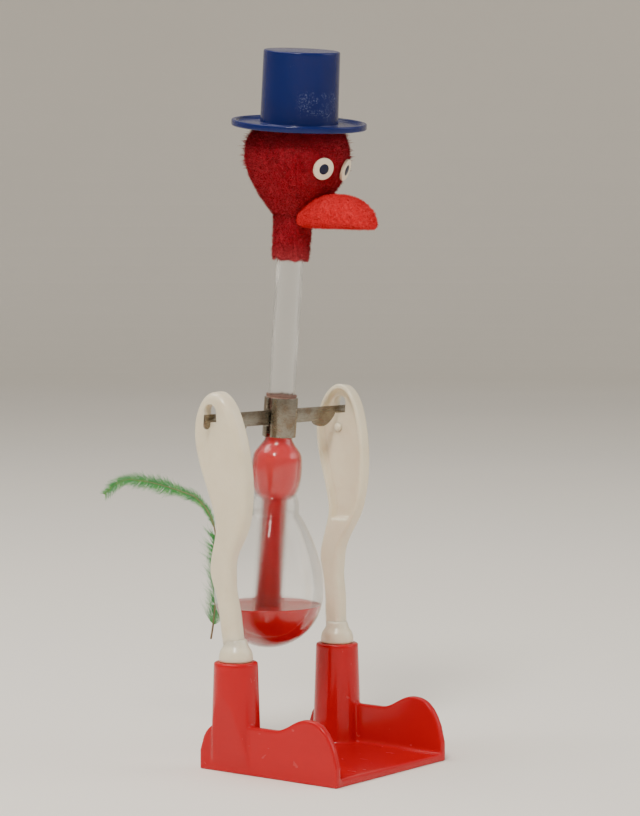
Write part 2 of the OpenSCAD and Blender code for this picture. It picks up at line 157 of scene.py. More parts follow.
def seat_matrix():
    """Places a shape drawn about the hat's own axis on its crooked seat on the head."""
    s = sizes()
    return (lean_matrix() @ Matrix.Translation((0, 0, s.seat_z)) @ Matrix.Rotation(-s.hat_skew, 4, "Y")
            @ Matrix.Rotation(s.hat_nod, 4, "X"))


# ---------- Shader maths ----------

class Sock:
    """A node's output, or a number, on which Python arithmetic adds Math nodes."""

    def __init__(self, finish, link):
        self.finish = finish
        self.link = link

    def _maths(self, operation, *values):
        return self.finish.node("ShaderNodeMath", {"operation": operation},
                                {i: v for i, v in enumerate(values)})

    def __add__(self, other):
        return self._maths("ADD", self, other)

    __radd__ = __add__

    def __sub__(self, other):
        return self._maths("SUBTRACT", self, other)

    def __rsub__(self, other):
        return self._maths("SUBTRACT", other, self)

    def __mul__(self, other):
        return self._maths("MULTIPLY", self, other)

    __rmul__ = __mul__

    def above(self, edge):
        """1 where the value is above the edge, otherwise 0."""
        return self._maths("GREATER_THAN", self, edge)

    def limited(self):
        """The value kept between 0 and 1."""
        return self._maths("MAXIMUM", self._maths("MINIMUM", self, 1.0), 0.0)


class Finish:
    """A material under construction."""

    def __init__(self, name):
        self.material = bpy.data.materials.new(name)
        self.material.use_nodes = True
        self.tree = self.material.node_tree
        self.shader = self.tree.nodes["Principled BSDF"]

    def node(self, kind, settings=None, inputs=None, output=0):
        """Adds a node: its settings first, then the values or links of its sockets."""
        made = self.tree.nodes.new(kind)
        for key, value in (settings or {}).items():
            if key == "stops":
                ramp = made.color_ramp.elements
                while len(ramp) < len(value):
                    ramp.new(0.5)
                for element, (place, colour) in zip(ramp, value):
                    element.position = place
                    element.color = colour
            else:
                setattr(made, key, value)
        for key, value in (inputs or {}).items():
            self.set(made.inputs[key], value)
        return Sock(self, made.outputs[output])

    def set(self, socket, value):
        if isinstance(value, Sock):
            self.tree.links.new(value.link, socket)
        elif socket.type == "RGBA":
            socket.default_value = tuple(value)[:3] + (1.0,)
        else:
            socket.default_value = value

    def surface(self, **inputs):
        """Sets the main shader's sockets; an underscore stands for a space."""
        for key, value in inputs.items():
            self.set(self.shader.inputs[key.replace("_", " ")], value)
        return self.material

    def coords(self):
        return self.node("ShaderNodeTexCoord", output="Object")

    def stretched(self, scale):
        return self.node("ShaderNodeMapping", {}, {"Vector": self.coords(), "Scale": scale})

    def noise(self, scale, detail=3.0, rough=0.5, at=None, distortion=0.0):
        return self.node("ShaderNodeTexNoise", {}, {
            "Vector": at or self.coords(), "Scale": scale, "Detail": detail,
            "Roughness": rough, "Distortion": distortion}, output="Fac")

    def height(self, axis):
        """The object's own x, y or z, in metres."""
        return self.node("ShaderNodeSeparateXYZ", {}, {"Vector": self.coords()}, output=axis)

    def cells(self, scale):
        return self.node("ShaderNodeTexVoronoi", {}, {
            "Vector": self.coords(), "Scale": scale}, output="Distance")

    def blend(self, mask, first, second):
        """Mixes two colours by a mask."""
        return self.node("ShaderNodeMix", {"data_type": "RGBA"}, {
            0: mask, 6: first, 7: second}, output=2)

    def ramp(self, mask, *stops):
        return self.node("ShaderNodeValToRGB", {"stops": [
            (place, tuple(c) + (1.0,)) for place, c in stops]}, {"Fac": mask})

    def bump(self, field, strength, distance):
        return self.node("ShaderNodeBump", {}, {
            "Height": field, "Strength": strength, "Distance": distance})


def shade(colour, factor):
    """A colour made lighter or darker, in plain numbers."""
    return tuple(min(1.0, c * factor) for c in colour)


def toward(colour, other, share):
    return tuple(a + (b - a) * share for a, b in zip(colour, other))


def scratches(finish, scale, edge):
    """Fine stretched marks: 1 on a mark, otherwise 0."""
    along = finish.stretched((1.0, 0.16, 0.4))
    return finish.noise(scale, 2.0, 0.6, at=along, distortion=0.6).above(edge)


def red_moulding():
    """Glossy red plastic with faint flow lines, dust and fine scratches."""
    f = Finish("red_moulding")
    red = colours().base_red
    flow = f.noise(55, 4, 0.55, at=f.stretched((1, 0.5, 2.2)))
    marks = scratches(f, 900, 0.71)
    peel = f.noise(420, 2, 0.5)
    body = f.blend(flow, shade(red, 0.88), shade(red, 1.08))
    colour = f.blend(marks * 0.12, body, toward(red, (1, 0.75, 0.7), 0.3))
    return f.surface(Base_Color=colour, Roughness=0.17 + 0.10 * flow + 0.06 * marks,
                     Specular_IOR_Level=0.25, Coat_Weight=0.10, Coat_Roughness=0.08, Subsurface_Weight=0.06,
                     Subsurface_Radius=(0.004, 0.001, 0.001), Subsurface_Scale=1.0,
                     Normal=f.bump(peel + 0.5 * flow, 0.10, 0.0002))


def ivory_moulding():
    """Ivory plastic that lets a little light in, with warm brownish patches spread at random by noise."""
    f = Finish("ivory_moulding")
    ivory = colours().ivory
    cloud = f.noise(70, 4, 0.6)
    warm_patch = (f.noise(160, 3, 0.6) - 0.52).limited() * 2.4
    peel = f.noise(520, 2, 0.5)
    body = f.blend(cloud, shade(ivory, 0.90), toward(ivory, (0.95, 0.88, 0.74), 0.4))
    colour = f.blend(warm_patch * 0.45, body, toward(ivory, (0.55, 0.38, 0.20), 0.5))
    return f.surface(Base_Color=colour, Roughness=0.24 + 0.14 * cloud, Subsurface_Weight=0.35,
                     Subsurface_Radius=(0.004, 0.0035, 0.0026), Subsurface_Scale=1.0,
                     Coat_Weight=0.25, Coat_Roughness=0.12,
                     Normal=f.bump(peel + cloud, 0.10, 0.0002))


def blown_glass():
    """Thin clear glass, clearest where it faces the eye, with draw lines and a few smudges."""
    f = Finish("blown_glass")
    smudge = (f.noise(110, 4, 0.6) - 0.5).limited() * 1.6
    lines = f.noise(90, 2, 0.5, at=f.stretched((1, 1, 0.12)))
    edge = f.node("ShaderNodeLayerWeight", {}, {"Blend": 0.28}, output="Facing")
    return f.surface(Base_Color=f.blend(smudge, (0.985, 0.995, 0.99), (0.93, 0.95, 0.93)),
                     Roughness=0.03 * smudge, Transmission_Weight=1.0, IOR=1.2,
                     Alpha=(0.28 + 0.5 * edge * edge + 0.12 * smudge).limited(),
                     Coat_Weight=0.5, Coat_Roughness=0.02,
                     Normal=f.bump(lines, 0.03, 0.0002))


def red_liquid():
    """Clear red liquid, painted paler higher up and darker towards the bottom, as light and shade for its
    thickness.
    """
    f = Finish("red_liquid")
    red = colours().liquid
    swirl = f.noise(60, 3, 0.5, distortion=0.8)
    # Painted shade: this mask darkens the liquid towards the bottom of the bulb, where it is deep, and leaves
    # it paler higher up.
    painted_depth_shade = ((f.height("Z") - POOL_FADE_Z) * 30).limited()
    colour = f.blend(painted_depth_shade, f.blend(swirl, shade(red, 0.8), shade(red, 1.0)),
                     f.blend(swirl, toward(red, (0.8, 0.06, 0.08), 0.4), toward(red, (0.9, 0.16, 0.17), 0.5)))
    return f.surface(Base_Color=colour, Roughness=0.04 + 0.05 * swirl, Transmission_Weight=0.5,
                     IOR=1.33, Subsurface_Weight=0.3, Subsurface_Radius=(0.012, 0.001, 0.001),
                     Subsurface_Scale=1.0, Coat_Weight=0.4, Coat_Roughness=0.03)


def flock(name, red, light):
    """Short upright fibres, with painted shade between the tufts and painted light at their tips."""
    f = Finish(name)
    tuft = f.cells(1500)
    patch = f.noise(140, 4, 0.6)
    fibre = f.noise(2600, 3, 0.7)
    # Painted shade and painted light: the fibre noise picks a darkened copy of the red as shade between the
    # tufts and a paler copy as light on their tips; the patch noise varies the tone at random.
    dark = f.blend(patch, shade(red, 0.6), shade(red, 0.95))
    pale = f.blend(patch, shade(red, 1.15), toward(red, light, 0.16))
    felt = f.blend((fibre * 1.3 - 0.1).limited(), dark, pale)
    # Painted highlight: sparse pale specks stand for glints on the fibres.
    painted_glint = f.noise(3400, 2, 0.5).above(0.63) * 0.3
    lit = f.blend(painted_glint, felt, toward(red, light, 0.5))
    hem = (1 - ((f.height("Z") - HEM_FADE_Z) * 150).limited()) * (fibre * 1.6 - 0.45).limited()
    return f.surface(Base_Color=f.blend(hem * 0.8, lit, (0.72, 0.16, 0.17)),
                     Roughness=0.8 + 0.2 * patch, Sheen_Weight=0.06, Sheen_Roughness=0.4,
                     Sheen_Tint=light, Specular_IOR_Level=0.04,
                     Normal=f.bump(fibre + 0.8 * tuft, 0.8, 0.0005))


def cream_card():
    f = Finish("cream_disc")
    cream = colours().cream
    grain = f.noise(900, 3, 0.6)
    age = f.noise(240, 3, 0.6)
    return f.surface(Base_Color=f.blend(age, shade(cream, 0.9), shade(cream, 1.08)),
                     Roughness=0.38 + 0.18 * grain, Coat_Weight=0.2,
                     Normal=f.bump(grain, 0.12, 0.0001))


def navy_dot():
    f = Finish("navy_dot")
    navy = colours().navy
    cloud = f.noise(700, 3, 0.6)
    return f.surface(Base_Color=f.blend(cloud, shade(navy, 0.7), shade(navy, 1.8)),
                     Roughness=0.3 + 0.15 * cloud, Specular_IOR_Level=0.2, Coat_Weight=0.1)


def hat_plastic():
    """Glossy blue plastic, scuffed pale along its edges and low on one side."""
    f = Finish("hat_plastic")
    blue = colours().hat_blue
    cloud = f.noise(60, 4, 0.6)
    speck = f.noise(1900, 5, 0.8, distortion=0.5)
    patch = f.noise(260, 2, 0.5)
    crown = ((f.height("Z") - SCUFF_LOW) * 600).limited()
    side = ((f.height("X") - SCUFF_RIGHT) * 400).limited() * ((SCUFF_LEFT - f.height("X")) * 400).limited()
    front = ((SCUFF_FRONT - f.height("Y")) * 400).limited()
    low = 1 - ((f.height("Z") - SCUFF_HIGH) * 220).limited()
    scuff = ((speck - 0.54) * 9).limited() * side * front * low * crown * ((patch - 0.4) * 6).limited()
    fine = scratches(f, 1100, 0.73)
    colour = f.blend(cloud, shade(blue, 0.8), shade(blue, 1.25))
    worn = f.blend((scuff * 0.6 + fine * 0.05).limited(), colour, (0.36, 0.44, 0.62))
    return f.surface(Base_Color=worn, Roughness=0.20 + 0.10 * cloud + 0.30 * scuff,
                     Coat_Weight=0.10, Coat_Roughness=0.10, Specular_IOR_Level=0.25,
                     Normal=f.bump(cloud + 0.3 * speck, 0.10, 0.0002))


def nickel_plate():
    """Nickelled sheet, rubbed along its length, darkened as a painted reflection of dark surroundings, with
    brown patches of tarnished metal and painted reflection.
    """
    f = Finish("nickel_plate")
    nickel = colours().nickel
    rub = f.noise(900, 4, 0.6, at=f.stretched((0.12, 1, 1)))
    # Brown patches: partly tarnished metal, partly a painted reflection of the dark brownish surroundings.
    tarnish_and_painted_reflection = ((f.noise(240, 4, 0.65) - 0.42) * 3.2).limited()
    return f.surface(Base_Color=f.blend(tarnish_and_painted_reflection, nickel, (0.17, 0.115, 0.07)),
                     Metallic=1 - 0.3 * tarnish_and_painted_reflection, Roughness=0.17 + 0.2 * rub,
                     Normal=f.bump(rub, 0.18, 0.0001))


def frayed_lining():
    f = Finish("frayed_lining")
    strand = f.noise(1600, 3, 0.6, at=f.stretched((1, 1, 0.2)))
    return f.surface(Base_Color=f.blend(strand, (0.10, 0.045, 0.035), (0.32, 0.17, 0.12)),
                     Roughness=0.7 + 0.2 * strand, Sheen_Weight=0.3,
                     Normal=f.bump(strand, 0.5, 0.0002))


def quill_horn():
    f = Finish("quill_horn")
    band = f.noise(500, 3, 0.6, at=f.stretched((1, 1, 0.3)))
    return f.surface(Base_Color=f.blend(band, (0.10, 0.065, 0.03), (0.30, 0.24, 0.12)),
                     Roughness=0.35 + 0.2 * band, Subsurface_Weight=0.1,
                     Subsurface_Radius=(0.001, 0.001, 0.0005), Normal=f.bump(band, 0.2, 0.0001))


def dyed_barbs():
    """Dyed green barbs, darker or yellower in patches of noise."""
    f = Finish("dyed_barbs")
    green = colours().feather
    band = f.noise(420, 4, 0.65)
    fine = f.noise(2200, 2, 0.6)
    colour = f.ramp((band * 1.5 - 0.25).limited(), (0.0, shade(green, 0.35)), (0.5, green),
                    (1.0, toward(green, (0.40, 0.62, 0.10), 0.6)))
    return f.surface(Base_Color=f.blend(fine * 0.4, colour, shade(green, 0.5)),
                     Roughness=0.45 + 0.3 * fine, Sheen_Weight=0.3, Subsurface_Weight=0.15,
                     Subsurface_Radius=(0.0005, 0.001, 0.0003), Normal=f.bump(fine, 0.3, 0.0001))


def dried_glue():
    f = Finish("dried_glue")
    cloud = f.noise(500, 3, 0.6)
    return f.surface(Base_Color=f.blend(cloud, (0.70, 0.66, 0.52), (0.9, 0.88, 0.78)),
                     Roughness=0.12 + 0.2 * cloud, Transmission_Weight=0.6, IOR=1.45,
                     Normal=f.bump(cloud, 0.3, 0.0003))


def plain_paper():
    """Pale matt paper for the floor and the sweep behind it."""
    f = Finish("pale_floor")
    colour = tuple(colours().floor)
    tooth = f.noise(700, 4, 0.6)
    cloud = f.noise(2.2, 3, 0.5)
    return f.surface(Base_Color=f.blend(cloud, shade(colour, 0.97), shade(colour, 1.03)),
                     Roughness=0.72 + 0.15 * tooth, Normal=f.bump(tooth, 0.08, 0.0003))


# ---------- Mesh work ----------

def add_piece(name, mesh, material, body, slot, *nodes):
    """Links a mesh as one piece that rides a body and stands for CAD nodes."""
    piece = bpy.data.objects.new(name, mesh)
    bpy.context.scene.collection.objects.link(piece)
    mesh.materials.clear()
    mesh.materials.append(material)
    mesh.polygons.foreach_set("use_smooth", [True] * len(mesh.polygons))
    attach(piece, body)
    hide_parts(*nodes)


def to_mesh(name, bm, place=None):
    """Turns a bmesh into a mesh, moved into place."""
    bmesh.ops.remove_doubles(bm, verts=bm.verts, dist=1e-7)
    bmesh.ops.recalc_face_normals(bm, faces=bm.faces)
    mesh = bpy.data.meshes.new(name)
    bm.to_mesh(mesh)
    bm.free()
    if place is not None:
        mesh.transform(place)
    return mesh


def rounded(points, radius, steps=5, closed=True):
    """A polyline with its corners turned into arcs."""
    count = len(points)
    out = []
    for i, here in enumerate(points):
        if not closed and i in (0, count - 1):
            out.append(tuple(here))
            continue
        here = Vector(here)
        back = Vector(points[i - 1]) - here
        on = Vector(points[(i + 1) % count]) - here
        cut = min(radius, 0.45 * back.length, 0.45 * on.length)
        start = here + back.normalized() * cut
        end = here + on.normalized() * cut
        for k in range(steps + 1):
            t = k / steps
            out.append(tuple(start * (1 - t) ** 2 + here * (2 * t * (1 - t)) + end * t ** 2))
    return out


def polar(radius, angle, z=0.0):
    """A point at a radius and angle about the Z axis."""
    return radius * math.cos(angle), radius * math.sin(angle), z


def quarter(step):
    """Angles of a quarter turn, a step in degrees apart."""
    return [math.radians(d) for d in range(0, 91, step)]


def stray(rng, flat=1.0):
    """A random direction and length, weaker along Z where flat is below 1."""
    return Vector((rng.gauss(0, 1), rng.gauss(0, 1), rng.gauss(0, flat)))


def skinned(bm, rings):
    """Joins each closed ring of points to the next with faces."""
    for low, high in zip(rings, rings[1:]):
        for k in range(len(low)):
            n = (k + 1) % len(low)
            bm.faces.new((low[k], low[n], high[n], high[k]))


def lathe(bm, profile, sides=96, closed=True):
    """Turns a profile of (radius, height) about the Z axis."""
    rings = []
    for r, z in profile:
        if r < 1e-7:
            rings.append([bm.verts.new((0, 0, z))])
        else:
            rings.append([bm.verts.new(polar(r, FULL_TURN * k / sides, z)) for k in range(sides)])
    pairs = list(zip(rings, rings[1:]))
    if closed:
        pairs.append((rings[-1], rings[0]))
    for low, high in pairs:
        for k in range(sides):
            n = (k + 1) % sides
            corners = [low[k % len(low)], low[n % len(low)], high[n % len(high)], high[k % len(high)]]
            unique = list(dict.fromkeys(corners))
            if len(unique) > 2:
                bm.faces.new(unique)
    return bm


def turned(name, profile, place, sides=96, closed=True):
    return to_mesh(name, lathe(bmesh.new(), profile, sides, closed), place)


def plate(name, outline, thickness, bevel, place):
    """A flat sheet cut to an outline in its own XY plane, with softened edges."""
    bm = bmesh.new()
    face = bm.faces.new([bm.verts.new((x, y, -thickness / 2)) for x, y in outline])
    top = bmesh.ops.extrude_face_region(bm, geom=[face])["geom"]
    lifted = [v for v in top if isinstance(v, bmesh.types.BMVert)]
    bmesh.ops.translate(bm, vec=(0, 0, thickness), verts=lifted)
    rims = [e for e in bm.edges if len(e.link_faces) == 2 and e.calc_face_angle(0) > 0.9]
    bmesh.ops.bevel(bm, geom=rims, offset=bevel, segments=2, affect="EDGES", profile=0.5)
    return to_mesh(name, bm, place)


def remeshed(name, source, voxel, smoothing):
    """A copy of a CAD solid as one skin whose edges are rounded like a moulding's."""
    mesh = source.data.copy()
    work = bpy.data.objects.new(name, mesh)
    bpy.context.scene.collection.objects.link(work)
    bm = bmesh.new()
    bm.from_mesh(mesh)
    bmesh.ops.remove_doubles(bm, verts=bm.verts, dist=1e-6)
    bm.to_mesh(mesh)
    bm.free()
    skin = work.modifiers.new("skin", "REMESH")
    skin.mode = "VOXEL"
    skin.voxel_size = voxel
    soft = work.modifiers.new("soft", "SMOOTH")
    soft.factor = 0.5
    soft.iterations = smoothing
    bpy.context.view_layer.update()
    done = work.evaluated_get(bpy.context.evaluated_depsgraph_get())
    result = bpy.data.meshes.new_from_object(done)
    result.name = name
    bpy.data.objects.remove(work)
    return result


def kept_inside(mesh, node):
    """Holds every point of a mesh inside the box of a CAD node."""
    low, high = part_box(node)
    for vertex in mesh.vertices:
        for axis in range(3):
            vertex.co[axis] = min(max(vertex.co[axis], low[axis]), high[axis])
    return mesh


def scattered(bm, count, rng):
    """Points spread evenly over a bmesh's faces, each with its normal."""
    bmesh.ops.triangulate(bm, faces=bm.faces)
    faces = list(bm.faces)
    places = rng.choices(faces, weights=[f.calc_area() for f in faces], k=count)
    for face in places:
        a, b, c = (v.co for v in face.verts)
        u, v = rng.random(), rng.random()
        if u + v > 1:
            u, v = 1 - u, 1 - v
        yield a + (b - a) * u + (c - a) * v, face.normal


def spike(bm, root, along, bend, span, width):
    """One thin three-sided fibre that leans from its root towards its tip."""
    side = along.orthogonal().normalized()
    other = along.cross(side).normalized()
    middle_at = root + along * span * 0.55 + bend * 0.35
    tip = bm.verts.new(root + along * span + bend)
    rows = []
    for centre, size in ((root, width), (middle_at, width * 0.7)):
        rows.append([bm.verts.new(centre + (side * math.cos(a) + other * math.sin(a)) * size)
                     for a in (0, FULL_TURN / 3, 2 * FULL_TURN / 3)])
    for k in range(3):
        n = (k + 1) % 3
        bm.faces.new((rows[0][k], rows[0][n], rows[1][n], rows[1][k]))
        bm.faces.new((rows[1][k], rows[1][n], tip))


def flocked(name, mesh, count, span, seed, lift=0.00025):
    """A felt skin roughened and covered with short fibres."""
    rng = random.Random(seed)
    skin = bmesh.new()
    skin.from_mesh(mesh)
    skin.normal_update()
    for vertex in skin.verts:
        bump = noise.noise(vertex.co * 700) + 0.5 * noise.noise(vertex.co * 1900)
        vertex.co += vertex.normal * (lift * bump - 0.5 * span)
    base = skin.copy()
    fur = bmesh.new()
    for place, normal in scattered(skin, count, rng):
        sway = stray(rng) * span * 0.3
        spike(fur, place, normal, sway, span * rng.uniform(0.45, 1.0), 0.07 * MM)
    skin.free()
    coat = bpy.data.meshes.new("coat")
    fur.to_mesh(coat)
    fur.free()
    base.from_mesh(coat)
    bpy.data.meshes.remove(coat)
    out = bpy.data.meshes.new(name)
    base.to_mesh(out)
    base.free()
    return out


# ---------- Glass ----------

def eased(t):
    return (1 - math.cos(math.pi * t)) / 2


def bulge_radius(z, wide):
    s = sizes()
    if z > s.bulge_z:
        rise = (z - s.bulge_z) / (s.bulge_top - s.bulge_z)
        neck = eased(min(1.0, (s.bulge_top - z) / (7.4 * MM)))
        return s.tube_r + (wide - s.tube_r) * neck * math.sqrt(max(0.0, 1 - rise ** 2))
    fall = (s.bulge_z - z) / (s.bulge_z - s.bulge_end)
    return s.tube_r + (wide - s.tube_r) * math.sqrt(max(0.0, 1 - fall ** 2.3))


def bulge_line(cut, steps=48):
    """The bulge from its top to its end, drawn in by cut."""
    s = sizes()
    wide = reach("neck_tube")
    out = []
    for i in range(steps + 1):
        t = i / steps
        z = s.bulge_top + (s.bulge_end - s.bulge_top) * eased(t)
        out.append((bulge_radius(z, wide) - cut, z + cut * t))
    return out


def dip_end():
    return sizes().bulb_z - reach("lower_bulb") * 0.7


def bulb_line(cut, steps=40):
    """The lower bulb from its seam under the bulge to its lowest point, drawn in by cut."""
    s = sizes()
    wide = reach("lower_bulb")
    seam_r = reach("neck_tube") - 0.2 * MM
    seam_z = s.bulge_end - 1.4 * MM
    pear_top = seam_z - 3 * MM
    start = [(seam_r - 1.4 * MM - cut, s.bulge_end + 2.6 * MM), (seam_r - 0.4 * MM - cut, seam_z + 1.6 * MM),
             (seam_r - cut, seam_z)]
    line = rounded(start + [(seam_r - cut, pear_top + 0.8 * MM)], 1.2 * MM, 5, closed=False)
    for i in range(steps + 1):
        t = eased(i / steps) * 0.5 + 0.5 * i / steps
        z = pear_top - (pear_top - s.bulb_z) * t
        share = max(0.0, math.cos(math.pi / 2 * (1 - t)))
        line.append((seam_r + (wide - seam_r) * share ** 0.85 - cut, z))
    for i in range(1, steps + 1):
        a = -math.pi / 2 * i / steps
        line.append(((wide - cut) * math.cos(a), s.bulb_z + (wide - cut) * math.sin(a)))
    return line


class BIRD_OT_glass(bpy.types.Operator):
    """Blows the neck tube, the lower bulb, the head bulb and the sealed tip"""
    bl_idname = "bird.glass"
    bl_label = "Glass"

    def execute(self, context):
        s = sizes()
        place = lean_matrix()
        glass = blown_glass()
        head_r = reach("head_bulb")
        head_c = s.head_z - 2.5 * MM
        top = head_c - head_r + 3 * MM
        lip = s.glass / 2
        outer = [(s.tube_r, top - lip)] + bulge_line(0) + [(s.tube_r, dip_end() + lip)]
        inner = [(s.tube_r - s.glass, top - lip)] + bulge_line(s.glass) + [
            (s.tube_r - s.glass, dip_end() + lip)]
        loop = [(s.tube_r - lip, top)] + outer + [(s.tube_r - lip, dip_end())] + inner[::-1]
        add_piece("neck_glass", turned("neck_glass", loop, place), glass, "bird", "glass", "neck_tube")
        wall = bulb_line(0) + bulb_line(s.glass)[::-1]
        add_piece("bulb_glass", turned("bulb_glass", wall, place, 128), glass, "bird", "glass",
                  "lower_bulb")
        shell = [(r * math.cos(a), head_c + r * math.sin(a))
                 for r, turn in ((head_r, 1), (head_r - s.glass, -1))
                 for a in [math.radians(turn * d) for d in
                           (range(-72, 91, 6) if turn > 0 else range(-90, 73, 6))]]
        add_piece("head_glass", turned("head_glass", shell, place), glass, "bird", "glass", "head_bulb")
        nib = [(0, 0), (1.9 * MM, 0), (1.5 * MM, 2 * MM), (1.0 * MM, 3.8 * MM), (0.7 * MM, 5 * MM),
               (0, 5.4 * MM)]
        foot = Matrix.Translation((0, 0, head_c + head_r - 0.2 * MM))
        add_piece("glass_nib", turned("glass_nib", nib, place @ foot, 32, False), glass, "bird",
                  "glass", "sealed_tip")
        return {"FINISHED"}


class BIRD_OT_liquid(bpy.types.Operator):
    """Fills the dip tube, the bulge and the lower bulb"""
    bl_idname = "bird.liquid"
    bl_label = "Liquid"

    def execute(self, context):
        s = sizes()
        place = lean_matrix()
        red = red_liquid()
        cut = s.glass + GLASS_GAP
        end = dip_end() + 0.2 * MM
        line = [(0, s.bulge_top - 0.6 * MM), (s.tube_r - cut - 0.6 * MM, s.bulge_top - 0.5 * MM)]
        line += bulge_line(cut)[2:] + [(s.tube_r - cut, end), (0, end)]
        add_piece("liquid_in_tube", turned("liquid_in_tube", line, place, 96, False), red, "bird",
                  "red_liquid", "liquid_column")
        add_piece("liquid_in_bulb", self.pool(cut), red, "liquid", "red_liquid", "liquid_pool")
        return {"FINISHED"}

    def pool(self, cut):
        """The lower part of the bulb's inside, under a level surface that climbs a little at its edge."""
        radius = reach("lower_bulb") - cut
        centre = place_on_axis(sizes().bulb_z)
        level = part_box("liquid_pool")[1].z - centre.z
        rim = math.sqrt(radius ** 2 - level ** 2)
        profile = [(radius * math.cos(a), radius * math.sin(a)) for a in
                   [-math.pi / 2 + (math.asin(level / radius) + math.pi / 2) * i / 40 for i in range(41)]]
        meniscus = [(rim * (1 - t), level - 0.45 * MM * (1 - math.exp(-t * 14))) for t in
                    (0.02, 0.05, 0.1, 0.2, 0.4, 0.7, 1.0)]
        return turned("liquid_in_bulb", profile + meniscus, Matrix.Translation(centre), 128, False)


def place_on_axis(z):
    """A point of the bird's own axis, at height z above the tilt axis."""
    return lean_matrix() @ Vector((0, 0, z))


# ---------- Felt ----------

def felt_radius(z):
    s = sizes()
    wide = reach("head_felt")
    neck = reach("neck_sleeve")
    if z < s.head_z:
        share = max(0.0, math.cos(math.pi / 2 * (s.head_z - z) / (s.head_z - s.felt_z)))
        return neck + (wide - neck) * share ** 0.95
    return wide - 3.2 * MM * ((z - s.head_z) / (s.seat_z - s.head_z)) ** 2


